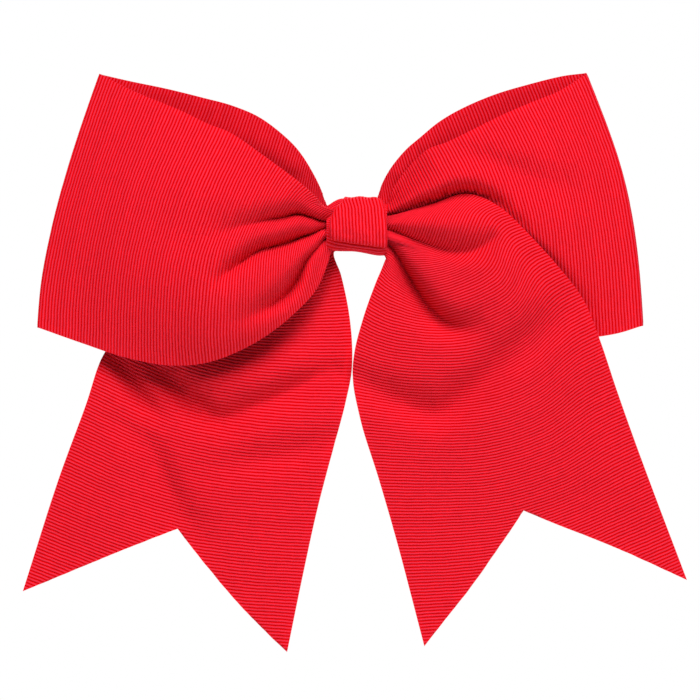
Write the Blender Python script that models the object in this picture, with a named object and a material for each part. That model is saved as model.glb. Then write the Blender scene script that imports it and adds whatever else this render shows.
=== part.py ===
"""Cheer hair bow: one folded strip of wide grosgrain ribbon, pinched and bound at its middle, a tied centre
ribbon over the pinch, and a sprung alligator clip held in the centre ribbon behind it.

Row frame, in metres: +X is the wearer's view to the right, +Z is up and -Y faces the front of the bow.
The origin is the middle of the gap between the clip's jaws, where the hair is held.
Lengths in this file are written in millimetres and become metres in mm().
"""

import math

import bmesh
import bpy
import numpy as np

# Driving dimensions, in millimetres.
RIBBON_WIDTH = 76.0
SHEET = 0.8  # thickness that stands for the ribbon
GAP = 0.3  # between pieces that touch
NOTCH_DEPTH = 29.0  # of the V cut into each tail's end
PINCH_Y = -8.7  # middle of the pinched bundle
PINCH_DEPTH = 9.0
PINCH_HEIGHT = 11.4
PINCH_LENGTH = 14.4
LAYER_STEP = 2.7  # from one folded layer to the next at the pinch
NECK_X = 8.6  # where the loops and tails come out of the knot
KNOT_WIDTH = 16.0
WRAP_HEIGHT = 14.6
WRAP_FRONT_Y = -14.4
WRAP_BACK_Y = -0.9
STRAP = 0.7  # thickness of the centre ribbon
SEAM_FILM, SEAM_GAP = 0.3, 0.2  # glue between the centre ribbon's overlapped ends, and its clearance
CLIP_STEEL = 0.7  # thickness of the clip's sheet steel
PIVOT_X, PIVOT_Y = -13.0, 0.8
TOP_JAW_WIDTH = 8.5
BOTTOM_JAW_WIDTH = 6.5
PIN_RADIUS = 0.8
PIN_HOLE_RADIUS = 0.89
SPRING_WIRE_RADIUS = 0.3
SPRING_RADIUS = 1.65
PLEATS = 3
PLEAT_DEPTH = 0.5  # of the pleats where a layer leaves the knot

FRONT_LAYER, MIDDLE_LAYER, BACK_LAYER = PINCH_Y - LAYER_STEP, PINCH_Y, PINCH_Y + LAYER_STEP

RED = (0.62, 0.012, 0.028, 1.0)
DARK_RED = (0.5, 0.01, 0.02, 1.0)
STEEL = (0.62, 0.62, 0.64, 1.0)
GLUE = (0.86, 0.84, 0.78, 1.0)

# Each stretch of ribbon runs from its outer end to the knot, between two edges given as (x, z) points.
# depth holds y on four lines across the stretch, outer end first, at the first edge, the middle and the last.
LEFT_FRONT = {
    "edges": (
        [(-71.9, 42.4), (-59.4, 36.4), (-48.2, 31.9), (-35.3, 26.0), (-25.2, 18.8), (-16.0, 11.8), (-8.6, 5.6)],
        [(-89.0, -28.6), (-65.0, -36.7), (-47.6, -38.9), (-30.2, -33.6), (-18.0, -24.4), (-8.6, -6.2)],
    ),
    "depth": ((-11.4, -12.4, -10.8), (-16.0, -19.5, -15.0), (-17.5, -21.0, -15.0), (FRONT_LAYER,) * 3),
}
LEFT_BACK = {
    "edges": (
        [(-71.9, 42.4), (-59.4, 39.5), (-46.8, 36.5), (-35.0, 33.6), (-27.2, 30.5), (-19.0, 24.1), (-8.6, 5.8)],
        [(-89.0, -28.6), (-66.4, -33.3), (-44.0, -30.5), (-24.4, -20.7), (-8.6, -6.0)],
    ),
    "depth": ((-9.4, -10.4, -8.8), (-8.4, -8.2, -8.0), (-8.2, -7.8, -8.0), (MIDDLE_LAYER,) * 3),
}
RIGHT_FRONT = {
    "edges": (
        [(63.9, 42.7), (48.0, 34.6), (35.5, 28.7), (21.8, 23.0), (14.9, 18.4), (8.6, 5.6)],
        [(79.8, -28.0), (67.4, -31.0), (51.0, -31.0), (32.0, -23.0), (8.6, -6.2)],
    ),
    "depth": ((-11.4, -12.4, -10.8), (-14.5, -15.6, -13.6), (-13.8, -14.6, -13.4), (MIDDLE_LAYER,) * 3),
}
RIGHT_BACK = {
    "edges": (
        [(63.9, 42.7), (49.9, 39.9), (35.5, 35.2), (23.0, 29.3), (13.7, 22.4), (8.6, 5.8)],
        [(79.8, -28.0), (60.0, -30.0), (40.0, -24.0), (22.0, -15.0), (8.6, -6.0)],
    ),
    "depth": ((-9.4, -10.4, -8.8), (-7.2, -7.4, -7.0), (-6.6, -6.6, -6.6), (BACK_LAYER,) * 3),
}
# A crease bows outwards between the two edges by this much.
CREASE_BOW = 4.4

LEFT_TAIL = {
    "edges": (
        [(-19.4, -119.6), (-10.6, -76.0), (-2.0, -42.0), (-1.3, -32.9), (-2.9, -20.7), (-7.2, -11.5),
         (-9.4, -6.8)],
        [(-93.8, -102.2), (-81.3, -65.1), (-70.7, -35.2), (-56.0, -17.0), (-33.0, -7.5), (-9.0, 0.5)],
    ),
    "depth": ((-9.0, -8.0, -9.0), (-6.6, -5.6, -6.6), (-5.0, -5.2, -6.0), (BACK_LAYER,) * 3),
    "hinge_at": 0.66,
}
RIGHT_TAIL = {
    "edges": (
        [(19.0, -116.9), (7.5, -74.8), (-0.6, -42.6), (-0.4, -36.0), (2.4, -24.5), (7.2, -11.5), (9.4, -6.8)],
        [(92.4, -98.5), (77.4, -60.3), (67.4, -31.1), (55.9, -13.8), (41.2, 4.0), (28.0, 8.7), (9.2, 3.6)],
    ),
    "depth": ((-9.0, -10.0, -9.0), (-13.5, -15.0, -14.0), (-16.5, -21.0, -18.5), (FRONT_LAYER,) * 3),
    "hinge_at": 0.66,
}


def mm(values):
    """Millimetres to metres."""
    return np.asarray(values, float) / 1000


def spline(points, count):
    """count points spaced evenly by length on a Catmull-Rom curve through points."""
    points = np.asarray(points, float)
    padded = np.vstack([2 * points[0] - points[1], points, 2 * points[-1] - points[-2]])
    steps = np.linspace(0, 1, 24, endpoint=False)[:, None]
    dense = []
    for a, b, c, d in zip(padded, padded[1:], padded[2:], padded[3:]):
        dense.append(0.5 * (2 * b + (c - a) * steps + (2 * a - 5 * b + 4 * c - d) * steps**2
                            + (3 * b - a - 3 * c + d) * steps**3))
    dense = np.vstack([*dense, points[-1:]])
    run = np.concatenate([[0], np.cumsum(np.linalg.norm(np.diff(dense, axis=0), axis=1))])
    wanted = np.linspace(0, run[-1], count)
    return np.stack([np.interp(wanted, run, dense[:, k]) for k in range(dense.shape[1])], axis=1)


def depth_at(depth, along, across):
    """y at each (along, across) share: a cubic through the four lines, and a parabola through the three places."""
    a, b, c, d = (np.asarray(line, float)[:, None, None] for line in depth)
    s = along[None]
    lines = (
        a * (1 - 3 * s) * (2 - 3 * s) * (1 - s) / 2
        + b * 9 * s * (2 - 3 * s) * (1 - s) / 2
        - c * 9 * s * (1 - 3 * s) * (1 - s) / 2
        + d * s * (1 - 3 * s) * (2 - 3 * s) / 2
    )
    first, middle, last = lines
    t = across
    return first * (1 - t) * (1 - 2 * t) + middle * 4 * t * (1 - t) - last * t * (1 - 2 * t)


def stretch_grid(stretch, along, across, bow=0.0):
    """Grid of points of one stretch of ribbon at shares along it, 0 at its outer end, and across it."""
    first, last = (spline(edge, 200) for edge in stretch["edges"])
    places = np.linspace(0, 1, 200)
    a = np.stack([np.interp(along, places, first[:, k]) for k in (0, 1)], axis=-1)
    b = np.stack([np.interp(along, places, last[:, k]) for k in (0, 1)], axis=-1)
    flat = a + (b - a) * across[..., None]
    outward = np.stack([(b - a)[..., 1], -(b - a)[..., 0]], axis=-1)
    outward /= np.linalg.norm(outward, axis=-1, keepdims=True)
    outward *= np.sign(np.sum(outward * first[0], axis=-1, keepdims=True))
    flat = flat + outward * (bow * (1 - along) * 4 * across * (1 - across))[..., None]
    pleat = -PLEAT_DEPTH * np.clip(along * 2.2 - 1.2, 0, 1) ** 2 * np.cos(2 * math.pi * PLEATS * across)
    y = depth_at(stretch["depth"], along, across) + pleat
    return np.stack([flat[..., 0], y, flat[..., 1]], axis=-1)


def shares(rows, columns, start=0.0, end=1.0):
    """Matching arrays of shares along (start to end) and across (0 to 1)."""
    return np.meshgrid(np.linspace(start, end, rows), np.linspace(0, 1, columns), indexing="ij")


def loop_grid(front, back, rows=15, columns=19, turn_rows=3):
    """One loop: its front layer from the knot out to the crease, round the crease, and its back layer home."""
    along, across = shares(rows, columns)
    front_grid = stretch_grid(front, along, across, CREASE_BOW)[::-1]
    back_grid = stretch_grid(back, along, across, CREASE_BOW)
    outer, inner = front_grid[-1], back_grid[0]
    out = (outer - front_grid[-2]) * [1, 0, 1]
    out /= np.linalg.norm(out, axis=1, keepdims=True)
    centre, reach = (outer + inner) / 2, np.linalg.norm(outer - inner, axis=1, keepdims=True) / 2
    turn = []
    for k in range(1, turn_rows + 1):
        angle = math.pi * k / (turn_rows + 1)
        turn.append(centre + (outer - centre) * math.cos(angle) + out * reach * math.sin(angle))
    return np.concatenate([front_grid, np.array(turn), back_grid])


def tail_grids(tail, rows=11, neck_rows=8, columns=19, hinge_gap=1.6):
    """A tail's free part, from its V cut to the line where it flexes, and its neck from there to the knot."""
    length = np.linalg.norm(np.diff(spline(tail["edges"][0], 60), axis=0), axis=1).sum()
    half_gap = hinge_gap / 2 / length
    across = np.linspace(0, 1, columns)
    cut = NOTCH_DEPTH / length * (1 - np.abs(2 * across - 1))
    share = np.linspace(0, 1, rows)[:, None]
    along = cut + (tail["hinge_at"] - half_gap - cut) * share
    free = stretch_grid(tail, along, np.broadcast_to(across, along.shape))
    neck = stretch_grid(tail, *shares(neck_rows, columns, tail["hinge_at"] + half_gap, 1.0))
    return free, neck


def material(name, colour, roughness, metallic=0.0):
    """A Principled material, made once."""
    found = bpy.data.materials.get(name)
    if found:
        return found
    made = bpy.data.materials.new(name)
    made.use_nodes = True
    shader = made.node_tree.nodes["Principled BSDF"]
    shader.inputs["Base Color"].default_value = colour
    shader.inputs["Roughness"].default_value = roughness
    shader.inputs["Metallic"].default_value = metallic
    return made


def ribbon_material():
    return material("ribbon_red", RED, 0.6)


def add_object(name, mesh, finish, smooth_angle=40.0):
    """Puts a mesh in the scene as one named node."""
    mesh.materials.append(finish)
    mesh.shade_smooth()
    mesh.set_sharp_from_angle(angle=math.radians(smooth_angle))
    made = bpy.data.objects.new(name, mesh)
    bpy.context.scene.collection.objects.link(made)
    return made


def mesh_of(name, vertices, faces):
    """A mesh with its normals facing out; vertices are in millimetres."""
    mesh = bpy.data.meshes.new(name)
    mesh.from_pydata([tuple(v) for v in mm(vertices)], [], faces)
    work = bmesh.new()
    work.from_mesh(mesh)
    bmesh.ops.recalc_face_normals(work, faces=work.faces)
    work.to_mesh(mesh)
    work.free()
    return mesh


def grid_normals(grid):
    """Unit normals of a grid of points."""
    along = np.gradient(grid, axis=0)
    across = np.gradient(grid, axis=1)
    normal = np.cross(along, across)
    return normal / np.linalg.norm(normal, axis=-1, keepdims=True)


def sheet(name, grid, thickness, finish):
    """A closed sheet of even thickness whose middle surface is the grid."""
    rows, columns = grid.shape[:2]
    offset = grid_normals(grid) * thickness / 2
    vertices = np.concatenate([(grid + offset).reshape(-1, 3), (grid - offset).reshape(-1, 3)])
    below = rows * columns

    def at(r, c, side):
        return side * below + r * columns + c

    faces = []
    for r in range(rows - 1):
        for c in range(columns - 1):
            faces.append((at(r, c, 0), at(r, c + 1, 0), at(r + 1, c + 1, 0), at(r + 1, c, 0)))
            faces.append((at(r, c, 1), at(r + 1, c, 1), at(r + 1, c + 1, 1), at(r, c + 1, 1)))
    rim = [(0, c) for c in range(columns - 1)] + [(r, columns - 1) for r in range(rows - 1)]
    rim += [(rows - 1, c) for c in range(columns - 1, 0, -1)] + [(r, 0) for r in range(rows - 1, 0, -1)]
    for here, there in zip(rim, rim[1:] + rim[:1]):
        faces.append((at(*here, 0), at(*here, 1), at(*there, 1), at(*there, 0)))
    return add_object(name, mesh_of(name, vertices, faces), finish)


def tube(name, sections, finish, smooth_angle=40.0):
    """A closed solid through closed sections of equal counts, capped at both ends."""
    count = len(sections[0])
    faces = [tuple(range(count))[::-1]]
    for s in range(len(sections) - 1):
        for k in range(count):
            a, b = s * count + k, s * count + (k + 1) % count
            faces.append((a, b, b + count, a + count))
    faces.append(tuple(range((len(sections) - 1) * count, len(sections) * count)))
    return add_object(name, mesh_of(name, np.concatenate(sections), faces), finish, smooth_angle)


def ring(name, outer, inner, low_x, high_x, finish):
    """A band along X between an outer and an inner closed outline in (y, z)."""
    count = len(outer)
    corners = [(outer, low_x), (outer, high_x), (inner, high_x), (inner, low_x)]
    vertices = np.concatenate([np.column_stack([np.full(count, x), line]) for line, x in corners])
    faces = []
    for side in range(4):
        for k in range(count):
            a, b = side * count + k, side * count + (k + 1) % count
            c, d = (side + 1) % 4 * count + (k + 1) % count, (side + 1) % 4 * count + k
            faces.append((a, b, c, d))
    return add_object(name, mesh_of(name, vertices, faces), finish)


def rounded_box(low, high, radius, steps=5):
    """Closed outline of a rectangle with round corners, as (a, b) points."""
    centres = [(high[0], high[1], 0), (low[0], high[1], 90), (low[0], low[1], 180), (high[0], low[1], 270)]
    points = []
    for a, b, start in centres:
        centre = (a - math.copysign(radius, a - (low[0] + high[0]) / 2),
                  b - math.copysign(radius, b - (low[1] + high[1]) / 2))
        for k in range(steps + 1):
            angle = math.radians(start + 90 * k / steps)
            points.append((centre[0] + radius * math.cos(angle), centre[1] + radius * math.sin(angle)))
    return np.array(points)


def plate(centre_line, thickness):
    """Closed (x, y) outline of a bent plate seen from its edge."""
    line = np.asarray(centre_line, float)
    direction = np.gradient(line, axis=0)
    direction /= np.linalg.norm(direction, axis=1, keepdims=True)
    normal = np.stack([-direction[:, 1], direction[:, 0]], axis=1) * thickness / 2
    return np.concatenate([line + normal, (line - normal)[::-1]])


def extruded(name, outline, low_z, high_z, finish):
    """An (x, y) outline extruded along Z."""
    outline = np.asarray(outline, float)
    levels = [np.column_stack([outline, np.full(len(outline), z)]) for z in (low_z, high_z)]
    return tube(name, levels, finish, 30.0)


def round_bar(name, radii_at, centre, finish, sides=24):
    """A turned bar along Z: radii_at lists (z, radius)."""
    angles = np.linspace(0, 2 * math.pi, sides, endpoint=False)
    sections = []
    for z, radius in radii_at:
        sections.append(np.column_stack([centre[0] + radius * np.cos(angles),
                                         centre[1] + radius * np.sin(angles), np.full(sides, z)]))
    return tube(name, sections, finish, 30.0)


def combine(target, other, operation):
    """Joins other to target, or cuts it away, and removes it."""
    modifier = target.modifiers.new(operation.lower(), "BOOLEAN")
    modifier.object, modifier.operation, modifier.solver = other, operation, "EXACT"
    graph = bpy.context.evaluated_depsgraph_get()
    mesh = bpy.data.meshes.new_from_object(target.evaluated_get(graph))
    target.modifiers.clear()
    old, target.data = target.data, mesh
    bpy.data.meshes.remove(old)
    bpy.data.objects.remove(other)


def drill_pivot(jaw, finish):
    """Cuts the pin's hole through a jaw's ears."""
    centre = (PIVOT_X, PIVOT_Y)
    hole = round_bar("hole", [(-8, PIN_HOLE_RADIUS), (8, PIN_HOLE_RADIUS)], centre, finish)
    combine(jaw, hole, "DIFFERENCE")


def ear_outline(plate_y, radius):
    """Outline of an ear: a round end about the pivot, straight sides and a foot on the plate."""
    side = 1 if plate_y > PIVOT_Y else -1
    angles = np.radians(np.linspace(0, 180, 13))
    arc = np.column_stack([PIVOT_X + radius * np.cos(angles), PIVOT_Y - side * radius * np.sin(angles)])
    foot = [(PIVOT_X - radius, plate_y), (PIVOT_X + radius, plate_y)]
    return np.vstack([arc, foot])


def build_clip_top_jaw(steel):
    """Fixed jaw: a flat plate with a turned-up thumb lever and two outer ears for the pin."""
    line = [(-28.0, -4.2), (-17.2, -2.3), (-16.2, -2.25), (26.0, -2.25), (28.5, -1.75)]
    half = TOP_JAW_WIDTH / 2
    jaw = extruded("clip_top_jaw", plate(line, CLIP_STEEL), -half, half, steel)
    for side in (-1, 1):
        low, high = sorted((side * half, side * (half - CLIP_STEEL)))
        combine(jaw, extruded("ear", ear_outline(-2.25, 2.6), low, high, steel), "UNION")
    drill_pivot(jaw, steel)
    return jaw


def tooth_rail():
    """Outline of the toothed edge of the moving jaw."""
    start, end, teeth, root_y, tip_y = 11.0, 26.5, 6, 0.1, -1.45
    pitch = (end - start) / teeth
    points = [(end, 1.0), (14.0, 2.6), (start, 3.2)]
    for k in range(teeth):
        points += [(start + pitch * k, root_y), (start + pitch * (k + 0.5), tip_y)]
    return [*points, (end, root_y)]


def build_clip_bottom_jaw(steel):
    """Moving jaw: an arched plate with a thumb lever, two inner ears and two toothed edges."""
    line = [(-28.0, 7.0), (-17.9, 4.05), (-16.9, 3.95), (-9.0, 3.95), (-6.0, 5.2), (3.0, 5.2), (14.0, 2.6),
            (27.5, 0.9)]
    half = BOTTOM_JAW_WIDTH / 2
    jaw = extruded("clip_bottom_jaw", plate(line, CLIP_STEEL), -half, half, steel)
    for side in (-1, 1):
        low, high = sorted((side * half, side * (half - CLIP_STEEL)))
        combine(jaw, extruded("ear", ear_outline(3.95, 2.3), low, high, steel), "UNION")
        combine(jaw, extruded("rail", tooth_rail(), low, high, steel), "UNION")
    drill_pivot(jaw, steel)
    return jaw


def wire(name, path, radius, finish, sides=8):
    """A round wire along a list of points."""
    path = np.asarray(path, float)
    forward = np.gradient(path, axis=0)
    forward /= np.linalg.norm(forward, axis=1, keepdims=True)
    side = np.cross(forward, [0.0, 0.0, 1.0])
    side /= np.linalg.norm(side, axis=1, keepdims=True)
    up = np.cross(side, forward)
    angles = np.linspace(0, 2 * math.pi, sides, endpoint=False)
    sections = [p + radius * (np.outer(np.cos(angles), s) + np.outer(np.sin(angles), u))
                for p, s, u in zip(path, side, up)]
    return tube(name, sections, finish, 60.0)


def spring_half(name, side, leg, finish, turns=2, per_turn=16):
    """Half of the torsion spring on one side of its middle: coils about the pin, then a leg along a lever."""
    start_z, pitch = 0.4, 0.82
    toward = 1 if side > 0 else -1
    count = turns * per_turn
    path = []
    for k in range(count + 1):
        angle = math.radians(90 * toward) + 2 * math.pi * toward * (count - k) / per_turn
        z = side * (start_z + pitch * k / per_turn)
        path.append((PIVOT_X + SPRING_RADIUS * math.cos(angle), PIVOT_Y + SPRING_RADIUS * math.sin(angle), z))
    last = path[-1]
    leg_points = spline([last, *[(x, y, last[2]) for x, y in leg]], 8)[1:]
    return wire(name, [*path, *leg_points], SPRING_WIRE_RADIUS, finish)


def build_clip():
    """The sprung alligator clip."""
    steel = material("clip_steel", STEEL, 0.28, 1.0)
    spring = material("spring_steel", STEEL, 0.35, 1.0)
    build_clip_top_jaw(steel)
    build_clip_bottom_jaw(steel)
    head, shank = 1.35, PIN_RADIUS
    radii = [(-4.95, head), (-4.45, head), (-4.45, shank), (4.45, shank), (4.45, head), (4.95, head)]
    round_bar("clip_pin", radii, (PIVOT_X, PIVOT_Y), steel)
    spring_half("clip_spring_fixed", -1, [(-17.0, -1.42), (-25.0, -2.7)], spring)
    spring_half("clip_spring_free", 1, [(-17.5, 3.05), (-25.0, 5.25)], spring)


def pleated_outline(depth, height, pleats=5, amplitude=0.55, per_pleat=6):
    """Closed (y, z) outline of the pinched bundle: pleated front and back faces, flat top and bottom."""
    count = pleats * per_pleat
    z = np.linspace(-height / 2, height / 2, count + 1)
    wave = amplitude * np.cos(2 * math.pi * pleats * (z / height + 0.5))
    front = np.column_stack([PINCH_Y - depth / 2 + amplitude - wave, z])
    back = np.column_stack([PINCH_Y + depth / 2 - amplitude - wave, z])[::-1]
    return np.concatenate([front, back])


def build_gather():
    """The pinched middle of the ribbon, narrower at its waist, and the thread that binds the waist."""
    sections = []
    for share in (-1.0, -0.7, -0.4, -0.2, 0.0, 0.2, 0.4, 0.7, 1.0):
        waist = 1.3 * min(1.0, max(0.0, 1.6 - 3.0 * abs(share)))
        outline = pleated_outline(PINCH_DEPTH - 2 * waist, PINCH_HEIGHT - 2 * waist)
        sections.append(np.column_stack([np.full(len(outline), share * PINCH_LENGTH / 2), outline]))
    tube("ribbon_gather", sections, material("ribbon_red", RED, 0.6))

    low = (PINCH_Y - PINCH_DEPTH / 2 + 1.3 - GAP - 0.6, -PINCH_HEIGHT / 2 + 1.3 - GAP - 0.6)
    high = (PINCH_Y + PINCH_DEPTH / 2 - 1.3 + GAP + 0.6, PINCH_HEIGHT / 2 - 1.3 + GAP + 0.6)
    inner_low, inner_high = [v + 0.6 for v in low], [v - 0.6 for v in high]
    ring("binding_thread", rounded_box(low, high, 1.2), rounded_box(inner_low, inner_high, 0.3), -0.9, 0.9,
         material("thread_red", DARK_RED, 0.7))


def build_knot():
    """The centre ribbon: its wrap round the pinch and the clip's fixed jaw, and the tied turn in front."""
    half, inset, x = WRAP_HEIGHT / 2, STRAP / 2, KNOT_WIDTH / 2
    back, step = WRAP_BACK_Y - inset, STRAP + SEAM_FILM + 2 * SEAM_GAP
    start = [(back, -2.6), (back, 1.0)]
    turns = rounded_box((WRAP_FRONT_Y + inset, inset - half), (back, half - inset), 2.05)
    over = [(back + step * 0.1, -4.4), (back + step * 0.5, -3.75), (back + step * 0.9, -3.1),
            (back + step, -2.4), (back + step, 3.2)]
    line = spline(np.concatenate([start, turns, over]), 66)
    sheet("knot_wrap", np.stack([np.column_stack([np.full(len(line), side), line]) for side in (-x, 0.0, x)]),
          STRAP, ribbon_material())

    rows = []
    for share in np.linspace(0, 1, 9):
        z = -5.6 + 13.3 * share
        crown = math.sin(math.pi * (0.12 + 0.76 * share))
        left, right = -7.6 + 3.0 * share**2, 8.6 - 0.6 * share**2
        section = [(left, -15.4), (left + 1.8, -15.8 - 0.7 * crown), ((left + right) / 2, -16.0 - 1.5 * crown),
                   (right - 1.8, -15.8 - 0.7 * crown), (right, -15.4)]
        line = spline(section, 19)
        rows.append(np.column_stack([line, np.full(len(line), z)]))
    sheet("knot_turn", np.array(rows), 1.2, ribbon_material())


def build_glue():
    """Hot-melt glue: the bed that holds the clip's fixed jaw to the pinched ribbon, and the dab on the wrap."""
    glue = material("hot_glue", GLUE, 0.3)
    sections = []
    for share in np.linspace(-1, 1, 7):
        swell = math.sqrt(max(1 - share**2, 0.12))
        outline = rounded_box((-3.95, -4.0 * swell), (-2.9, 4.0 * swell), 0.45)
        sections.append(np.column_stack([np.full(len(outline), 6.6 * share), outline]))
    tube("clip_glue_bed", sections, glue)
    middle = WRAP_BACK_Y + SEAM_GAP + SEAM_FILM / 2
    rows, columns = np.meshgrid(np.linspace(-2.2, 2.8, 5), np.linspace(-7, 7, 7), indexing="ij")
    sheet("seam_glue", np.stack([columns, np.full(rows.shape, middle), rows], axis=-1), SEAM_FILM, glue)


def main():
    for obj in list(bpy.data.objects):
        bpy.data.objects.remove(obj)
    ribbon = ribbon_material()
    sheet("left_loop", loop_grid(LEFT_FRONT, LEFT_BACK), SHEET, ribbon)
    sheet("right_loop", loop_grid(RIGHT_FRONT, RIGHT_BACK), SHEET, ribbon)
    for side, tail in (("left", LEFT_TAIL), ("right", RIGHT_TAIL)):
        free, neck = tail_grids(tail)
        sheet(f"{side}_tail", free, SHEET, ribbon)
        sheet(f"{side}_tail_neck", neck, SHEET, ribbon)
    build_gather()
    build_knot()
    build_glue()
    build_clip()


main()
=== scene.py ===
import math

import bmesh
import bpy
import numpy as np
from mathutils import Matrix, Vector


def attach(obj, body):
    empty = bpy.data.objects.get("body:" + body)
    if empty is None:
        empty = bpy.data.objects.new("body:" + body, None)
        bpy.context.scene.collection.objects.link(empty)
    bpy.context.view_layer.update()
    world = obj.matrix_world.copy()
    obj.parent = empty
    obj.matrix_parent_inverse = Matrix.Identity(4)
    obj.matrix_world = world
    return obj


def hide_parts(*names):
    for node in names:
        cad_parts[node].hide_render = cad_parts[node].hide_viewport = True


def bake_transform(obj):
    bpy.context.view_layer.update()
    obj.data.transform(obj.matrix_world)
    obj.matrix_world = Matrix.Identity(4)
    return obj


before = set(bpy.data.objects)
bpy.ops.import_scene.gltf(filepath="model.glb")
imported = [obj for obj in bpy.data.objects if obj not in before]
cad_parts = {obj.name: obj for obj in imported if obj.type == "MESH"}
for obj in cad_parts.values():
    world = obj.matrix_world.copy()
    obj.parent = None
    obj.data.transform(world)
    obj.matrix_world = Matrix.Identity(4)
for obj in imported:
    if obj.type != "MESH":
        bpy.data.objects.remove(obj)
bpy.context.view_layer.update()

# A cheer hair bow. From its front, x is to the right, z is up and y goes back. Lengths are millimetres until
# metres() is called.
WIDTH = 76.0  # of the wide ribbon
RIB = 0.92  # pitch of its ribs
CROSS_THREAD = 0.42  # pitch of the threads that cross the ribs
TINY = 1e-9  # keeps a divisor above zero


def metres(values):
    return np.asarray(values, float) / 1000


def smooth(x, low=0.0, high=1.0):
    """0 below low, 1 above high, and a smooth step between."""
    s = np.clip((np.asarray(x, float) - low) / (high - low), 0, 1)
    return s * s * (3 - 2 * s)


# ---------------- objects

def placed(name, data):
    """A new object in the scene that holds data: a mesh, a light or a camera."""
    made = bpy.data.objects.new(name, data)
    bpy.context.scene.collection.objects.link(made)
    return made


def mesh_object(name, points, faces, fields=(), sharp=None):
    """A smooth-shaded object. fields are (name, point values), and edges over sharp degrees stay sharp."""
    mesh = bpy.data.meshes.new(name)
    mesh.from_pydata(metres(points).tolist(), [], faces)
    for key, values in fields:
        mesh.attributes.new(key, "FLOAT", "POINT").data.foreach_set("value", np.asarray(values, np.float32))
    mesh.shade_smooth()
    if sharp:
        mesh.set_sharp_from_angle(angle=math.radians(sharp))
    return placed(name, mesh)


def full_turn(count):
    """This many angles evenly round a circle."""
    return np.linspace(0, 2 * math.pi, count, endpoint=False)


def tube_faces(rings, around, capped=False):
    """Faces between rings of points that follow each other, and over the two ends of a capped tube."""
    faces = []
    for k in range(rings - 1):
        for j in range(around):
            a, b = k * around + j, k * around + (j + 1) % around
            faces.append([a, b, b + around, a + around])
    if capped:
        faces.append(list(range(around))[::-1])
        faces.append(list(range((rings - 1) * around, rings * around)))
    return faces


def closed_sheet(name, top, bottom, faces, flat):
    """A mesh of two skins that share their faces, joined at their edges. flat is kept as along and over."""
    count = len(top)
    edges = {}
    for f in faces:
        for a, b in zip(f, f[1:] + f[:1]):
            if (b, a) in edges:
                del edges[b, a]
            else:
                edges[a, b] = True
    all_faces = list(faces)
    all_faces += [[v + count for v in reversed(f)] for f in faces]
    all_faces += [[b, a, a + count, b + count] for a, b in edges]
    fields = [("along", np.tile(flat[:, 0], 2)), ("over", np.tile(flat[:, 1], 2))]
    return mesh_object(name, np.concatenate([top, bottom]), all_faces, fields, sharp=75)


# ---------------- curves

def dense_curve(points, per_span=40):
    """Many points on a centripetal Catmull-Rom curve through points."""
    p = np.asarray(points, float)
    p = np.vstack([2 * p[0] - p[1], p, 2 * p[-1] - p[-2]])
    knots = np.concatenate([[0], np.cumsum(np.sqrt(np.linalg.norm(np.diff(p, axis=0), axis=1)) + TINY)])
    out = []
    for k in range(1, len(p) - 2):
        t0, t1, t2, t3 = knots[k - 1:k + 3]
        t = np.linspace(t1, t2, per_span, endpoint=False)[:, None]
        a1 = ((t1 - t) * p[k - 1] + (t - t0) * p[k]) / (t1 - t0)
        a2 = ((t2 - t) * p[k] + (t - t1) * p[k + 1]) / (t2 - t1)
        a3 = ((t3 - t) * p[k + 1] + (t - t2) * p[k + 2]) / (t3 - t2)
        b1 = ((t2 - t) * a1 + (t - t0) * a2) / (t2 - t0)
        b2 = ((t3 - t) * a2 + (t - t1) * a3) / (t3 - t1)
        out.append(((t2 - t) * b1 + (t - t1) * b2) / (t2 - t1))
    return np.vstack([*out, p[-2:-1]])


def arc_lengths(line):
    return np.concatenate([[0], np.cumsum(np.linalg.norm(np.diff(line, axis=0), axis=1))])


def at_arc(line, lengths, wanted):
    """The line's points at the wanted distances along it."""
    return np.stack([np.interp(wanted, lengths, line[:, k]) for k in range(line.shape[1])], axis=-1)


def hermite(values, slopes, k, s, step):
    """The cubic from value k to the next with these slopes, at the share s of the step between them."""
    return (values[k] * (1 + 2 * s) * (1 - s) ** 2 + slopes[k] * step * s * (1 - s) ** 2
            + values[k + 1] * s * s * (3 - 2 * s) + slopes[k + 1] * step * s * s * (s - 1))


def through(places, values, at):
    """Smooth interpolation of values at places, without overshoot (monotone cubic)."""
    x, y = np.asarray(places, float), np.asarray(values, float)
    h, d = np.diff(x), np.diff(y) / np.diff(x)
    m = np.zeros(len(x))
    inside = d[:-1] * d[1:] > 0
    w1, w2 = 2 * h[1:] + h[:-1], h[1:] + 2 * h[:-1]
    with np.errstate(divide="ignore", invalid="ignore"):
        m[1:-1] = np.where(inside, (w1 + w2) / (w1 / d[:-1] + w2 / d[1:]), 0)
    m[0], m[-1] = d[0], d[-1]
    at = np.clip(np.asarray(at, float), x[0], x[-1])
    k = np.clip(np.searchsorted(x, at, side="right") - 1, 0, len(x) - 2)
    return hermite(y, m, k, (at - x[k]) / h[k], h[k])


# ---------------- the folded surfaces

def across(shares, lines, t):
    """Smooth interpolation, at the shares t across the ribbon, of lines (guides, rows, 3) at these shares."""
    x = np.asarray(shares, float)
    v = np.asarray(lines, float)
    h = np.diff(x)[:, None, None]
    d = np.diff(v, axis=0) / h
    m = np.empty_like(v)
    m[1:-1] = (d[:-1] * h[1:] + d[1:] * h[:-1]) / (h[:-1] + h[1:])
    m[0], m[-1] = 1.5 * d[0] - 0.5 * m[1], 1.5 * d[-1] - 0.5 * m[-2]
    k = np.clip(np.searchsorted(x, t, side="right") - 1, 0, len(x) - 2)
    p = hermite(v, m, k, (t - x[k])[:, None, None] / h[k], h[k])
    return np.ascontiguousarray(np.swapaxes(p, 0, 1))


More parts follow.
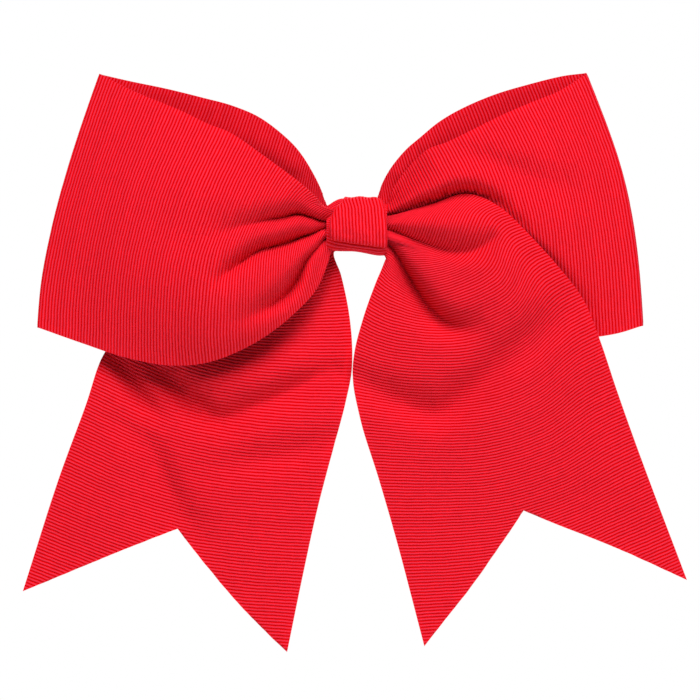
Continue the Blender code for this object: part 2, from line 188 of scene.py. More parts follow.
def guide(share, points, start=0.0, slack=0.0):
    """A line along the ribbon at a share of its width: points (x, y, z) from its outer end to inside the
    knot. start is the distance along the ribbon at its outer end, and slack is length that the creases near
    the knot take up."""
    return share, points, start, slack


def loft(guides, u, t):
    """The surface through the guides, at distances u along the ribbon and shares t across it. It goes
    straight on past the guides' ends. Also returns the distance at which each t ends."""
    shares, lines, ends = [], [], []
    for share, points, start, slack in guides:
        line = dense_curve(points)
        run = arc_lengths(line)
        run += start + slack * smooth(run / run[-1], -0.1, 1.1)
        p = at_arc(line, run, np.clip(u, run[0], run[-1]))
        first, last = line[0] - line[6], line[-1] - line[-7]  # the ways that its ends point
        p += np.maximum(start - u, 0)[:, None] * first / np.linalg.norm(first)
        p += np.maximum(u - run[-1], 0)[:, None] * last / np.linalg.norm(last)
        shares.append(share)
        lines.append(p)
        ends.append(run[-1])
    return across(shares, lines, t), through(shares, ends, t)


def carve(p, folds):
    """Moves points in y along fold lines. A fold is (sharpness, stations), and a station is (x, z, depth,
    width on the left, width on the right) as seen along the fold. A negative depth comes forward."""
    flat = p.reshape(-1, 3)
    pick = np.arange(len(flat))
    for sharpness, stations in folds:
        line = dense_curve(stations, 24)
        ahead = np.gradient(line[:, :2], axis=0)
        away = flat[:, None, [0, 2]] - line[None, :, :2]
        distance = np.hypot(away[..., 0], away[..., 1])
        nearest = distance.argmin(axis=1)
        side = ahead[nearest, 0] * away[pick, nearest, 1] - ahead[nearest, 1] * away[pick, nearest, 0]
        width = np.where(side > 0, line[nearest, 3], line[nearest, 4])
        flat[:, 1] += line[nearest, 2] * np.exp(-(distance[pick, nearest] / width) ** sharpness)


def cubic_rows(grid, at):
    """Catmull-Rom rows of grid at fractional row numbers."""
    n = len(grid)
    k = np.clip(np.floor(at).astype(int), 0, n - 2)
    s = (at - k)[:, None, None]
    padded = np.concatenate([2 * grid[:1] - grid[1:2], grid, 2 * grid[-1:] - grid[-2:-1]])
    a, b, c, d = padded[k], padded[k + 1], padded[k + 2], padded[k + 3]
    return 0.5 * (2 * b + (c - a) * s + (2 * a - 5 * b + 4 * c - d) * s**2 + (3 * b - a - 3 * c + d) * s**3)


def blurred(field, rounds):
    for _ in range(rounds):
        field = np.pad(field, 1, mode="edge")
        field = (field[:-2, 1:-1] + field[2:, 1:-1] + 2 * field[1:-1, 1:-1]) / 4
        field = np.pad(field, ((0, 0), (1, 1)), mode="edge")
        field = (field[:, :-2] + field[:, 2:] + 2 * field[:, 1:-1]) / 4
    return field


def settle(front, behind, clearance=0.62, cell=0.8):
    """Pushes the grid behind back in y until it clears the grid in front of it. The front grid's furthest y
    is kept in square cells over the bow, as seen from the front."""
    low, size, empty = np.array([-100.0, -125.0]), np.array([200.0, 175.0]), -99.0
    shape = (size / cell).astype(int)
    depth = np.full(shape, empty)
    dense = cubic_rows(front, np.linspace(0, len(front) - 1, 2 * len(front)))
    at = ((dense[..., [0, 2]].reshape(-1, 2) - low) / cell).astype(int)
    inside = ((at >= 0) & (at < shape)).all(axis=1)
    np.maximum.at(depth, tuple(at[inside].T), dense[..., 1].reshape(-1)[inside])
    grown = depth.copy()
    for dx in (-1, 0, 1):
        for dz in (-1, 0, 1):
            grown = np.maximum(grown, np.roll(depth, (dx, dz), axis=(0, 1)))
    at = np.clip(((behind[..., [0, 2]] - low) / cell).astype(int), 0, shape - 1)
    need = np.maximum(grown[at[..., 0], at[..., 1]] + clearance - behind[..., 1], 0)
    push = blurred(need, 3)
    for _ in range(6):
        push = blurred(np.maximum(push, need), 1)
    behind[..., 1] += np.maximum(push, need)


# ---------------- the ribbon's layers
# A tail's cut is its fishtail: the share at the V's point, the V's depth and how far each side of it bows.

LEFT_FRONT = dict(guides=[
    guide(0, [(-71.5, -11, 42.5), (-65, -13, 38.9), (-59.4, -14.6, 36.4), (-49.6, -16.8, 32.3),
        (-41.4, -18, 28.3), (-35.4, -18.4, 25.9), (-25.2, -18.8, 18.8), (-15.8, -17, 11.8), (-11.8, -15, 8.3),
        (-8.6, -13, 5), (-1.5, -11.4, 4.2)]),
    guide(0.4, [(-80.8, -11, 14.6), (-70, -16.5, 10.6), (-60, -21, 6.4), (-50, -24.8, 2.2),
        (-41, -26.8, -0.4), (-33, -26.8, 0.2), (-25, -24.6, 1.8), (-17, -20.2, 3.2), (-12, -16.6, 2.9),
        (-8.6, -13.8, 2), (-1.5, -11.4, 1.4)]),
    guide(0.62, [(-85, -11, -1), (-75, -16, -4.2), (-65, -20.6, -7.6), (-55, -24.8, -11), (-46, -27.6, -13),
        (-38, -28.2, -12.2), (-30, -26.4, -8.8), (-22.5, -22.4, -5.2), (-15.6, -18, -2.9), (-9, -13.6, -0.8),
        (-1.5, -11.2, -0.8)]),
    guide(0.83, [(-87.9, -11, -16.1), (-77, -14.6, -19.5), (-66, -18.4, -23), (-55, -22, -26.3),
        (-45, -24.4, -28.2), (-36, -25, -27), (-28, -24, -23.2), (-22, -21.8, -19), (-16.9, -18.8, -13.5),
        (-12.5, -15.8, -8.5), (-8.4, -13, -3), (-1.5, -11, -2.4)]),
    guide(1, [(-89, -10.8, -28.6), (-77, -12.6, -32.8), (-65, -15, -36.7), (-52.9, -17.4, -38.9),
        (-43.1, -18.8, -38.4), (-35, -19.2, -35.8), (-25.5, -18.4, -30.7), (-17.4, -16.2, -24.2),
        (-11.4, -13.8, -17.6), (-8.3, -12.4, -10.6), (-7.2, -11.8, -7.2), (-1.5, -11, -5)]),
], folds=[
    (1.3, [(-1.5, 1.6, 1.5, 0.8, 0.8), (-9.5, 1.4, 3.8, 0.8, 1), (-13.3, 2.5, 5.4, 1, 1.4),
        (-16.8, 3.2, 7, 1.2, 2.2), (-21, 2.2, 6.6, 1.6, 2.6), (-25.3, 1.6, 5.6, 2.2, 2.7),
        (-29.6, 0.6, 4, 2.9, 2.7), (-34, -0.8, 3, 3.8, 3.3), (-38.2, -2.5, 1.8, 5, 4.2),
        (-42.5, -5, 0.5, 6, 5)]),
    (1.3, [(-1.5, -0.8, 1.5, 0.8, 0.8), (-9, -0.6, 3.8, 0.8, 1), (-12.5, -2.1, 5.2, 1, 1.3),
        (-15.9, -3.3, 6.8, 1.2, 1.8), (-19.3, -4.7, 7.6, 1.5, 2.3), (-22.8, -5.8, 7.8, 1.7, 2.6),
        (-26.6, -6.8, 7.8, 1.9, 2.8), (-29.6, -8.4, 7.6, 2, 2.9), (-32.2, -10.2, 7, 2.2, 3),
        (-35.2, -12.4, 5.8, 2.4, 3.1), (-37.8, -14.9, 3.4, 2.8, 3.2), (-39.8, -17.8, 0.8, 3.2, 3.4)]),
    (1.7, [(-1.5, -2.8, 1.5, 0.8, 0.8), (-8.6, -3.3, 3, 0.8, 0.8), (-11.6, -6.5, 3.6, 0.9, 0.9),
        (-14.2, -9.8, 5.2, 1, 1.2), (-15.9, -13.4, 6.8, 1.2, 1.8), (-17.2, -16, 7.6, 1.4, 2.3),
        (-19.3, -18.7, 7.2, 1.6, 2.5), (-22, -20.9, 6, 1.9, 2.6), (-24.8, -22.5, 4.6, 2.3, 2.7),
        (-28.1, -24.4, 2.6, 2.8, 3), (-32, -26, 1.4, 3.2, 3.8), (-38, -28.2, 0.4, 4, 5)]),
    (2, [(-20, 8.5, -1.4, 4, 4), (-32, 8, -1.4, 6, 6), (-44, 8, -0.6, 8, 8)]),
    (2, [(-40, -2, 0.9, 7, 7), (-52, -3.5, 1.1, 9, 9), (-64, -4, 0.6, 10, 10)]),
])
LEFT_BACK = dict(guides=[
    guide(0, [(-71.5, -9.4, 42.6), (-64, -9.2, 40.9), (-53.5, -9.6, 38.7), (-43.1, -10.2, 36.1),
        (-35, -10.4, 33.9), (-27.2, -10.4, 30.5), (-19, -10, 24.1), (-15.6, -9.6, 20.2), (-12.4, -9.2, 15),
        (-9.9, -8.8, 9.8), (-8.6, -8.6, 5.4), (-1.5, -8.7, 4.4)]),
    guide(0.5, [(-82.8, -9.4, 7), (-72, -7.8, 4.4), (-60, -6.6, 1.6), (-48, -6.2, -0.6), (-36, -6.2, -1.8),
        (-26, -6.4, -1.8), (-17, -7, -1.2), (-8.6, -8.4, -0.4), (-1.5, -8.7, 0)]),
    guide(1, [(-89, -9.4, -28.6), (-78, -8, -31.5), (-66, -7, -33), (-52, -6.6, -32.5), (-40, -6.6, -28),
        (-28, -6.8, -21.5), (-18, -7.2, -14.5), (-11.5, -7.8, -9.4), (-8.4, -8.4, -6.6), (-1.5, -8.7, -5)]),
], folds=[
    (1.6, [(-1.5, 1.6, 0.8, 0.8, 0.8), (-9.4, 2.1, 1.4, 1, 1), (-18, 3.2, 1, 2, 2), (-30, 1.3, 0.2, 4, 4)]),
    (1.6, [(-1.5, -2, 0.8, 0.8, 0.8), (-9.1, -2.2, 1.4, 1, 1), (-18, -5.5, 1, 2, 2), (-30, -10, 0.2, 4, 4)]),
    (2, [(-18, 17, -0.9, 3, 3), (-30, 24, -1.1, 5, 5), (-44, 27, -0.4, 6, 6)]),
])
RIGHT_FRONT = dict(guides=[
    guide(0, [(63.6, -11, 42.3), (56.8, -13.2, 38), (48.6, -15, 34.5), (40.6, -16.2, 31), (31.6, -16.8, 26.5),
        (24.6, -16.4, 23.2), (20.1, -15.6, 21.6), (16.1, -14, 18.3), (13.2, -12.4, 15), (10.1, -10.8, 10.5),
        (8.3, -9.8, 6.2), (1.5, -9.2, 4.8)]),
    guide(0.15, [(67.7, -11, 32.5), (58, -14.8, 28.2), (48, -18, 23.2), (38, -20, 17.8), (30, -20.4, 13.4),
        (22, -18.8, 9.6), (15, -15.4, 6.8), (8.6, -11, 4.6), (1.5, -9.2, 3.4)]),
    guide(0.4, [(73.5, -11, 15.4), (64, -15, 11.6), (54, -18.2, 7), (44, -19.6, 2.4), (34, -18.4, -0.6),
        (24, -15.6, -1.4), (15, -12.4, -0.4), (8.4, -10, 1), (1.5, -9.1, 1)]),
    guide(0.7, [(77.5, -11, -6.3), (68, -13.8, -9), (58, -15.8, -11.8), (48, -16.4, -13.6),
        (38, -15.6, -13.6), (28, -13.8, -11.4), (18, -11.8, -7.2), (11, -10.4, -4), (8.2, -9.7, -2.6),
        (1.5, -9, -2)]),
    guide(1, [(79.4, -11, -28.1), (73.6, -11.6, -29.9), (67.3, -12, -31), (57, -12.6, -32),
        (47, -12.8, -30.5), (37, -12.6, -27), (27, -12, -21.5), (18, -11, -14.8), (11.5, -10, -9.8),
        (8.2, -9.4, -6.6), (1.5, -9, -5)]),
], folds=[
    (2, [(27, 20.5, 0.8, 3, 5), (35, 18.5, 2.2, 3.6, 6), (43, 15.5, 2.4, 4, 6.5), (54, 11.5, 1.8, 4.6, 7),
        (66, 8.5, 0.6, 6, 8)]),
    (1.3, [(1.5, 3.4, 0.6, 0.8, 0.8), (9, 6.2, 1.8, 1, 1), (13, 10.6, 2.2, 1.5, 1.8),
        (17, 14.6, 1.8, 2.4, 2.6), (22, 18, 0.4, 3, 3)]),
    (2, [(9, 4.6, -0.8, 1.2, 1.2), (18, 8.8, -1.4, 2.6, 2.6), (26, 11.6, -1.4, 4, 4), (36, 12, -0.9, 5, 5)]),
    (1.7, [(1.5, 1, 0.6, 0.8, 0.8), (9, 1.8, 2.4, 1.6, 1.2), (15, 2.9, 4, 2.6, 2.4), (21, 4.6, 4.6, 3.2, 4),
        (25, 6.4, 4.6, 3.4, 5), (29, 7.6, 4.6, 3.6, 5), (33, 7.2, 4.4, 3.6, 5), (37, 5, 4, 3.4, 5),
        (41, 2, 3.2, 2.8, 5), (48.2, -4.6, 2, 2, 5), (56.8, -14, 1.6, 2, 5), (63.5, -23, 0.8, 2, 5)]),
])
RIGHT_BACK = dict(guides=[
    guide(0, [(63.4, -9.4, 43), (57.8, -9.2, 42.3), (48, -9.2, 39.9), (38.4, -9.4, 37), (29.1, -9.2, 33),
        (23, -9, 29.4), (17.9, -8.6, 25.2), (13.7, -8, 21.6), (9.5, -7.2, 16.5), (6.9, -6.6, 11.8),
        (5.5, -6.2, 7.4), (1.5, -6.1, 4.8)]),
    guide(0.5, [(75.3, -9.4, 7.5), (64, -7.8, 5.6), (52, -6.6, 3.6), (40, -6, 1.6), (28, -5.6, 0.4),
        (17, -5.6, 0), (8.4, -5.9, 0.2), (1.5, -6.1, 0.2)]),
    guide(1, [(79.4, -9.4, -28.1), (70, -8, -30), (58, -6.8, -29.5), (46, -6.2, -25), (34, -5.8, -19.5),
        (22, -5.7, -14), (13, -5.8, -9.6), (8, -5.9, -6.4), (1.5, -6.1, -5)]),
], folds=[
    (1.6, [(1.5, 2.4, 0.4, 0.8, 0.8), (8.4, 3.4, 0.9, 1, 1), (16, 5, 0.7, 2, 2), (28, 6, 0.1, 4, 4)]),
    (1.6, [(1.5, -1.6, 0.4, 0.8, 0.8), (8.4, -2.2, 0.9, 1, 1), (16, -4, 0.7, 2, 2), (28, -7, 0.1, 4, 4)]),
    (2, [(12, 15, -0.7, 2.5, 2.5), (22, 24, -0.9, 4, 4), (36, 29, -0.3, 6, 6)]),
])
LEFT_TAIL = dict(guides=[
    guide(0, [(-94, -9, -102.6), (-83.9, -9.6, -71.1), (-76.2, -9.6, -50.1), (-71.6, -8.4, -36.5),
        (-66, -6.6, -28.6), (-59, -5.2, -21.5), (-48, -5, -11), (-36, -5, -3.4), (-22, -5.3, 1),
        (-13, -5.7, 2.4), (-8.4, -6, 2.6), (-1.5, -6.1, 2.4)]),
    guide(0.5, [(-56.9, -9.4, -111.5), (-50.4, -10.8, -84.6), (-44.5, -11.2, -58), (-38.5, -9.8, -40),
        (-31, -7.2, -26), (-22, -5.6, -14), (-14, -5.7, -7), (-8.4, -6, -2.4),
        (-1.5, -6.1, -1.6)], start=3.5, slack=3),
    guide(1, [(-19.7, -9, -119.7), (-15.2, -9.4, -97.7), (-11.2, -9.8, -79.5), (-6.8, -10, -62.7),
        (-3.4, -10, -50.1), (-1.6, -9.6, -40.9), (-1.4, -8.8, -33.3), (-2.4, -7.4, -23.5),
        (-4.5, -6.4, -13.7), (-6.5, -6, -6.9), (-1.5, -6.1, -5)]),
], folds=[
    (1.8, [(-72, -31, 1.5, 2.6, 3), (-66, -39.5, 3.6, 2.8, 3.2), (-60, -48.5, 3.8, 3, 3.6),
        (-53.5, -55, 1, 4, 4.5)]),
    (1.8, [(-58, -37, 1.8, 3.4, 4), (-52.5, -42.5, 4.2, 3.4, 4), (-46.5, -48.5, 5, 3.6, 4.4),
        (-39, -53.5, 4.6, 4, 4.6), (-29, -50.5, 4.4, 4, 4.6), (-18, -45.5, 4, 3.8, 4.4),
        (-7, -40.5, 2.2, 3.6, 4)]),
    (2, [(-48, -40, -1.6, 6, 6), (-34, -42, -2.2, 7, 7), (-18, -38, -1.4, 6, 6)]),
    (2, [(-66, -56, 1.2, 4, 4), (-58.5, -62, 2.4, 4, 5), (-54.5, -71, 3, 4, 8), (-49, -82, 2.6, 5, 11),
        (-40, -94, 0.8, 8, 12)]),
    (2, [(-6, -60, 1.4, 4, 4), (-19, -64, 2.6, 4, 5), (-31, -66.5, 2.4, 4, 5), (-42, -69, 0.6, 5, 5)]),
    (1.5, [(-1.5, -2.6, 0.3, 0.8, 0.8), (-7.6, -3.4, 0.8, 1, 1), (-9, -12, 1.4, 2, 2), (-13, -24, 0.9, 4, 4),
        (-20, -34, 0.2, 6, 6)]),
], cut=(0.5, 27.8, 0.8, -1))
RIGHT_TAIL = dict(guides=[
    guide(0, [(92.7, -9.5, -99.4), (79.2, -13, -64.1), (72.8, -15, -46.5), (67.5, -16.6, -31.1),
        (63, -17.4, -20.4), (56.8, -18, -12.3), (48.2, -18.2, -2.8), (41.4, -17.6, 3.9), (38.6, -17, 5.9),
        (35.6, -16.2, 7.6), (31.6, -15.2, 8.8), (28, -14.4, 8.6), (22, -13.4, 6.4), (15, -12.8, 4.4),
        (9, -12.3, 2.9), (1.5, -12.1, 2.4)]),
    guide(0.1, [(85.3, -9.5, -101.3), (73, -13.5, -67), (66.5, -16, -48.5), (61.5, -18.4, -32.5),
        (56.5, -20, -21), (50.5, -21, -12.8), (43.4, -21.6, -4), (38.2, -21, 1.8), (33, -20, 4.2),
        (27.5, -18.6, 4.4), (21, -16.8, 3.4), (14.5, -14.8, 2.2), (8.8, -12.9, 1.2),
        (1.5, -12.3, 1)], start=1.3),
    guide(0.34, [(67.6, -9.5, -105.7), (58.5, -13.5, -77), (52, -16.5, -55.5), (47, -19.6, -36.5),
        (42.5, -22.2, -22.5), (36, -23, -13), (28.5, -21.6, -8.8), (20.5, -18.4, -6), (14, -15.6, -3.4),
        (8.6, -13.1, -1.6), (1.5, -12.3, -1)], start=3.2, slack=11),
    guide(0.6, [(48.5, -9.5, -110.5), (41.5, -12.5, -83), (35.5, -15, -62), (31, -17.8, -45),
        (27.5, -18.8, -33.5), (23.6, -18, -26), (19.6, -16.8, -20), (16.2, -15.6, -14), (12.6, -14.2, -8.8),
        (8.6, -12.8, -4.4), (1.5, -12.2, -2.6)], start=3.7, slack=12),
    guide(0.82, [(32.4, -9.5, -114.6), (25.5, -12, -85), (20, -14, -65), (14.5, -15.6, -50), (11, -16.2, -39),
        (10, -16.2, -31), (10.2, -15.8, -24), (10.4, -15, -17), (9.6, -14, -11), (8.4, -12.8, -6.2),
        (1.5, -12.1, -4)], start=2.2, slack=6),
    guide(1, [(18.9, -9.5, -118), (11, -11.5, -87.9), (5.9, -13, -70.3), (1.1, -14, -54.9),
        (-1.2, -14.6, -42.6), (-0.8, -14.8, -35.6), (1.7, -14.6, -25.8), (5, -13.8, -16.5), (7.6, -13, -10.2),
        (8.2, -12.4, -7.8), (1.5, -11.9, -5.4)]),
], folds=[
    (1.35, [(1.5, -0.2, 0.4, 0.8, 0.8), (8.7, -0.9, 1.8, 0.9, 1), (12.2, -2.1, 2.6, 1.2, 1.4),
        (16.5, -3.9, 3.6, 1.8, 2.4), (20.8, -5.5, 4.2, 2.4, 3.2), (25, -6.8, 4.6, 2.8, 3.8),
        (29.3, -7.1, 4.4, 3, 4), (33.6, -6.3, 3.6, 3, 4), (37.2, -4, 2.4, 2.8, 3.8),
        (40, -1.6, 0.5, 2.4, 3)]),
    (2, [(10, 0.8, -0.4, 1.2, 1.2), (18, 1, -1.6, 2.8, 2.8), (26, 0.8, -2.2, 4, 4), (34, 1.2, -1.6, 4, 4),
        (40, 1.5, -0.4, 4, 4)]),
    (1.7, [(1.5, -3, 0.4, 0.8, 0.8), (8.6, -5, 3.2, 0.9, 1.1), (11.2, -8, 5.2, 1.1, 1.7),
        (13.2, -11.6, 7, 1.3, 2.4), (15, -14.6, 8.2, 1.5, 3), (17.2, -18.2, 8.6, 1.7, 3.6),
        (19.6, -21.6, 8.2, 1.9, 4), (22.4, -24.8, 7.2, 2.2, 4.4), (25.6, -27, 5.8, 2.6, 4.6),
        (29.2, -28, 4.2, 3.2, 4.8), (32.5, -27.4, 2.4, 3.8, 5), (36, -25.2, 0.6, 4.6, 5)]),
    (2, [(13, -5, -0.4, 2, 2), (19, -12, -1.2, 3.5, 3.5), (25, -19, -1.4, 4.5, 4.5), (34, -22, -0.8, 6, 6)]),
    (2, [(-1, -42.5, 2.2, 4.5, 3.6), (12, -49, 4.4, 5.5, 4.4), (23, -52, 5.2, 6.5, 5),
        (32, -46.5, 5.2, 6.5, 5), (40, -39, 4.4, 6.5, 5), (50, -30.5, 3, 6, 5), (60, -22, 1, 5, 5)]),
    (2, [(46, -82, 1.2, 12, 12), (36, -96, 0.6, 12, 12)]),
    (2, [(76, -84, 0.7, 8, 8), (64, -78, 0.9, 8, 8)]),
], cut=(0.517, 33.2, 0.6, -1))


SHARES = np.linspace(0, 1, 65)  # across the ribbon, one for each column of its grids


def surface_of(layer, spare_rows=3.0):
    """One layer, with its folds, as rows 1 mm apart from its outer end, and each column's start and end."""
    guides = layer["guides"]
    longest = max(arc_lengths(dense_curve(points))[-1] + slack + start for _, points, start, slack in guides)
    p, ends = loft(guides, np.arange(math.ceil(longest) + spare_rows), SHARES)
    carve(p, layer["folds"])
    return p, through([g[0] for g in guides], [g[2] for g in guides], SHARES), ends


def loop_strip(front, back, front_ends, back_ends):
    """Front layer, the turn at the outer fold, and back layer as one strip of rows 1 mm apart. Also returns
    where each column of the strip starts and ends."""
    half = (back[0] - front[0]) / 2
    outward = (front[0] - front[1]) + (back[0] - back[1])
    outward *= (np.linalg.norm(half, axis=-1) / np.linalg.norm(outward, axis=-1))[..., None]
    middle = (front[0] + back[0]) / 2
    turn = [middle - half * math.cos(a) + outward * math.sin(a) for a in (math.pi / 3, 2 * math.pi / 3)]
    strip = np.concatenate([front[::-1], turn, back])
    return strip, len(front) - 1 - front_ends, len(front) + len(turn) + back_ends


RIB_PHASES, RIB_HEIGHTS = (0.0, 0.2, 0.5, 0.8), (-1.0, 0.5, 1.0, 0.5)


def rib_stations(length):
    """Distances along the ribbon with four rows to each rib, and the height of the rib at each."""
    ribs = np.arange(math.ceil(length / RIB) + 1)
    u = (ribs[:, None] + np.array(RIB_PHASES)) * RIB
    h = np.broadcast_to(RIB_HEIGHTS, u.shape)
    keep = u < length
    return u[keep], h[keep]


def trimmed(rows, u, low, high, least=0.05):
    """Cuts a grid of rows at distances u off at low and high, one for each column. Returns the points that
    are left, with new ones on the cuts, and their faces. No row closer than least to a cut is kept."""
    count, columns = rows.shape[:2]
    index = np.arange(count * columns).reshape(count, columns)
    pick = np.arange(columns)
    first, last = np.searchsorted(u, low + least), np.searchsorted(u, high - least) - 1
    tables, cuts = [rows.reshape(count * columns, -1)], []
    for edge, inner, step in ((low, first, -1), (high, last, 1)):
        outer = np.clip(inner + step, 0, count - 1)
        s = ((edge - u[inner]) / np.where(u[outer] == u[inner], 1, u[outer] - u[inner]))[:, None]
        cuts.append((count + len(cuts)) * columns + pick)
        tables.append(rows[inner, pick] * (1 - s) + rows[outer, pick] * s)
    faces = []
    for j in range(columns - 1):
        left, right = index[:, j], index[:, j + 1]
        a, b = max(first[j], first[j + 1]), min(last[j], last[j + 1])
        faces.append([*cuts[0][j:j + 2], *right[first[j + 1]:a + 1], *left[first[j]:a + 1][::-1]])
        faces += np.stack([left[a:b], right[a:b], right[a + 1:b + 1], left[a + 1:b + 1]], axis=1).tolist()
        faces.append([*left[b:last[j] + 1][::-1], *right[b:last[j + 1] + 1], cuts[1][j + 1], cuts[1][j]])
    used, renumbered = np.unique(np.concatenate(faces), return_inverse=True)
    starts = np.cumsum([len(f) for f in faces])[:-1]
    return np.concatenate(tables)[used], [f.tolist() for f in np.split(renumbered, starts)]


def ribbon_piece(name, grid, low, high, width=WIDTH, thick=0.34, rib=0.13, border=0.9, edge_rib=0.15,
                 stray=0.06):
    """A closed sheet of ribbed ribbon whose middle surface passes through the grid, with rows 1 mm apart. It
    is cut off at the distances low and high, one for each column. Over the border at its edges the ribs fade
    to edge_rib of their height, and stray is how far they wander from straight."""
    columns, last_row = grid.shape[1], len(grid) - 1
    u, height = rib_stations(float(last_row))
    p = cubic_rows(grid, u)
    along = cubic_rows(grid, np.clip(u + 0.5, 0, last_row)) - cubic_rows(grid, np.clip(u - 0.5, 0, last_row))
    over = np.linspace(0, 1, columns) * width
    wander = (np.sin(over / 1.9 + 2.3 * np.sin(u[:, None] / 3.1)) * np.sin(over / 0.83 + u[:, None] / 5.7)
              + np.sin(over / 4.7 - u[:, None] / 8.3))
    p = p + stray * (wander * smooth(np.minimum(over, width - over), 0, 2))[..., None] * along
    normal = np.cross(along, np.gradient(p, axis=1))
    normal /= np.maximum(np.linalg.norm(normal, axis=-1, keepdims=True), TINY)
    flat = np.stack(np.broadcast_arrays(u[:, None], over, height[:, None]), axis=-1)
    table, faces = trimmed(np.concatenate([p, normal, flat], axis=-1), u, low, high)
    points, normals, flat, heights = table[:, :3], table[:, 3:6], table[:, 6:8], table[:, 8]
    normals = normals / np.maximum(np.linalg.norm(normals, axis=1, keepdims=True), TINY)
    edge = smooth(np.minimum(flat[:, 1], width - flat[:, 1]), 0.0, border)
    offset = (thick / 2 + rib * heights * (edge_rib + (1 - edge_rib) * edge))[:, None] * normals
    return closed_sheet(name, points + offset, points - offset, faces, flat)


# ---------------- materials

def feed(tree, socket, value):
    """Links an output to the socket, or sets the socket to a plain value."""
    if isinstance(value, bpy.types.NodeSocket):
        tree.links.new(value, socket)
    else:
        socket.default_value = value


def node(tree, kind, inputs=(), **settings):
    """A new node. inputs are (name or number of a socket, a value or another node's output)."""
    made = tree.nodes.new(kind)
    for key, value in settings.items():
        setattr(made, key, value)
    for key, value in inputs:
        feed(tree, made.inputs[key], value)
    return made


def maths(tree, operation, *values, clamp=False):
    return node(tree, "ShaderNodeMath", enumerate(values), operation=operation, use_clamp=clamp).outputs[0]


def plus(tree, value, part, amount):
    """value + part * amount"""
    return maths(tree, "ADD", value, maths(tree, "MULTIPLY", part, amount))


def varied(tree, value, pattern, amount):
    """value, up to half the amount more or less as the pattern goes from 0 to 1."""
    return plus(tree, value, maths(tree, "SUBTRACT", pattern, 0.5), amount)


def noise(tree, place, scale, detail):
    inputs = [("Vector", place), ("Scale", scale), ("Detail", detail)]
    return node(tree, "ShaderNodeTexNoise", inputs).outputs[0]


def attribute(tree, name):
    return node(tree, "ShaderNodeAttribute", attribute_name=name).outputs["Fac"]


def object_place(tree):
    return node(tree, "ShaderNodeTexCoord").outputs["Object"]


def mixed(tree, factor, first, second, blend="MIX"):
    """A mix of two colours, through the numbered colour sockets of a Mix node."""
    inputs = [(0, factor), (6, first), (7, second)]
    return node(tree, "ShaderNodeMix", inputs, data_type="RGBA", blend_type=blend).outputs[2]


def shaded(tree, colour, value):
    """The colour, made lighter or darker by value."""
    grey = node(tree, "ShaderNodeCombineColor", [(k, value) for k in range(3)]).outputs[0]
    return mixed(tree, 1.0, colour, grey, "MULTIPLY")


def bumps(tree, height, strength, distance):
    inputs = [("Height", height), ("Strength", strength), ("Distance", distance)]
    return node(tree, "ShaderNodeBump", inputs).outputs[0]


def new_material(name):
    made = bpy.data.materials.new(name)
    made.use_nodes = True
    return made, made.node_tree


def set_shader(tree, **inputs):
    """Feeds the sockets of the Principled shader whose names these are, with _ for a space."""
    shader = tree.nodes["Principled BSDF"]
    for key, value in inputs.items():
        feed(tree, shader.inputs[key.replace("_", " ")], value)


def grosgrain(name, colour, depth=0.24):
    """Ribbed ribbon: the dye varies from rib to rib and along each rib, and threads cross the ribs. Painted
    shade makes the grooves between the ribs darker and of a purer red, and a painted sheen makes the rib
    crests paler pink."""
    made, tree = new_material(name)
    along, over = attribute(tree, "along"), attribute(tree, "over")
    ribs = maths(tree, "DIVIDE", along, RIB)
    away = maths(tree, "ABSOLUTE", maths(tree, "SUBTRACT", maths(tree, "FRACT", ribs), 0.5))
    groove = maths(tree, "POWER", maths(tree, "MULTIPLY", away, 2.0), 4.0)
    number = maths(tree, "FLOOR", ribs)
    dye = node(tree, "ShaderNodeTexWhiteNoise", [("W", number)], noise_dimensions="1D").outputs["Value"]
    crossing = plus(tree, maths(tree, "MULTIPLY", over, 2 * math.pi / CROSS_THREAD), number, math.pi)
    thread = maths(tree, "SINE", crossing)
    stretched = [(0, maths(tree, "MULTIPLY", along, 1.1)), (1, maths(tree, "MULTIPLY", over, 0.35))]
    streaks = noise(tree, node(tree, "ShaderNodeCombineXYZ", stretched).outputs[0], 1.0, 3.0)
    cloudy = noise(tree, object_place(tree), 30.0, 3.0)
    value = 1.0
    for pattern, amount in ((dye, 0.06), (streaks, 0.22), (cloudy, 0.10)):
        value = varied(tree, value, pattern, amount)
    # painted shade: a little lighter where the crossing threads stand up, darker between them
    value = plus(tree, value, thread, 0.03)
    # painted shade: darker in the grooves between the ribs, by depth
    value = plus(tree, value, groove, -depth)
    # painted sheen: the rib crests are paler pink and the grooves a purer red
    fall = maths(tree, "MULTIPLY", maths(tree, "MULTIPLY", away, away), 4.0)
    crest_sheen_mask = maths(tree, "POWER", maths(tree, "SUBTRACT", 1.0, fall), 4.0)
    sheen_tinted_colour = mixed(tree, crest_sheen_mask, (colour[0], 0.0, 0.0, 1.0), colour)
    height = plus(tree, maths(tree, "MULTIPLY", thread, 0.35), streaks, 0.6)
    set_shader(tree, Base_Color=shaded(tree, sheen_tinted_colour, value), Roughness=plus(tree, 0.8, groove, 0.2),
               Specular_IOR_Level=0.14, Specular_Tint=(1.0, 0.75, 1.0, 1.0),
               Normal=bumps(tree, height, 0.3, 0.0001))
    return made


def sewing_thread():
    """Twisted polyester: fine plies wind round the thread."""
    made, tree = new_material("thread_red")
    along, over = attribute(tree, "along"), attribute(tree, "over")
    ply = maths(tree, "SINE", plus(tree, maths(tree, "MULTIPLY", along, 7.0), over, 15.8))
    # painted shade: lighter along each ply and darker between the plies
    colour = shaded(tree, (0.7, 0.008, 0.02, 1), plus(tree, 0.9, ply, 0.12))
    set_shader(tree, Base_Color=colour, Roughness=0.55, Normal=bumps(tree, ply, 0.6, 0.00006))
    return made


